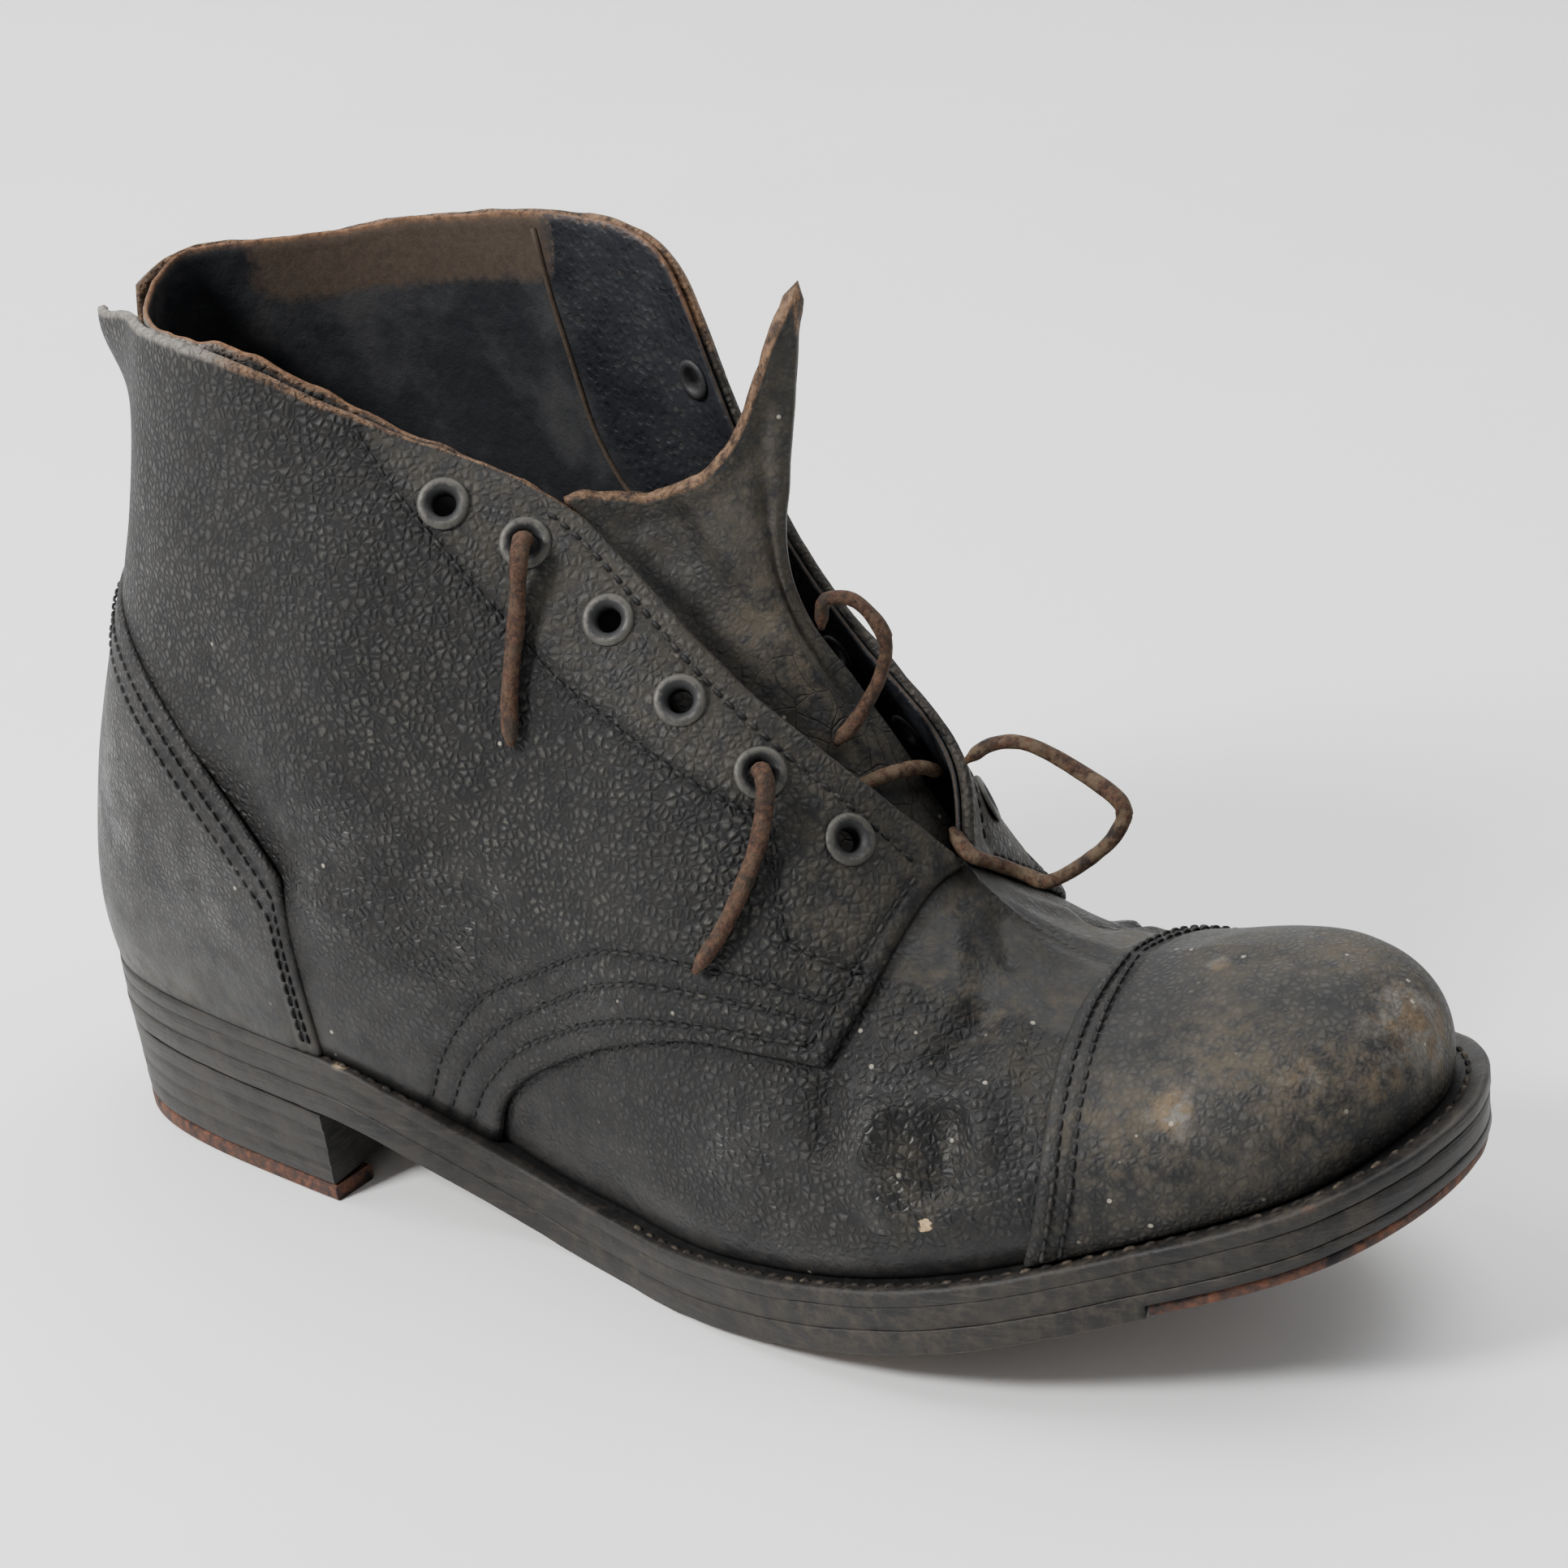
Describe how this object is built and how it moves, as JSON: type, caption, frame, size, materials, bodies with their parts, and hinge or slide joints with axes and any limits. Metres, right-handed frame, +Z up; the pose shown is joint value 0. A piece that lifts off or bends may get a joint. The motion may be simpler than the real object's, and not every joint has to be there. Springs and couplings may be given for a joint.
{
  "type": "ankle work boot",
  "caption": "Right ankle work boot with open lacing, toe cap, outside heel counter, welted leather sole and stacked heel; it stands empty on heel and ball.",
  "frame": {"origin": "on the floor under the middle of the heel, on the flat leather of the heel's base", "axes": "+X to the toe, +Y to the inner (medial) side, +Z up"},
  "size_m": [0.2951, 0.1044, 0.1833],
  "materials": {
    "upper_leather": "worn grained leather",
    "smooth_leather": "worn smooth leather",
    "sole_leather": "black edge dressing, scuffed",
    "insole_leather": "bare, darkened by use",
    "lace_leather": "dry and frayed",
    "iron": "rusted",
    "eyelet_paint": "black paint worn at the rim"
  },
  "bodies": {
    "root": {"outsole": "sole_leather", "midsole": "sole_leather", "welt": "sole_leather", "heel_stack": "sole_leather", "heel_iron": "iron", "toe_iron": "iron", "insole": "insole_leather", "upper": "upper_leather", "toe_cap": "smooth_leather", "heel_counter": "smooth_leather", "tongue": "upper_leather", "eyelet_lateral_1": "eyelet_paint", "eyelet_lateral_2": "eyelet_paint", "eyelet_lateral_3": "eyelet_paint", "eyelet_lateral_4": "eyelet_paint", "eyelet_lateral_5": "eyelet_paint", "eyelet_lateral_6": "eyelet_paint", "eyelet_medial_1": "eyelet_paint", "eyelet_medial_2": "eyelet_paint", "eyelet_medial_3": "eyelet_paint", "eyelet_medial_4": "eyelet_paint", "eyelet_medial_5": "eyelet_paint", "eyelet_medial_6": "eyelet_paint", "lace_bar": "lace_leather", "lace_end_lower": "lace_leather", "lace_end_upper": "lace_leather", "lace_loop": "lace_leather", "lace_tangle": "lace_leather"}
  },
  "joints": []
}
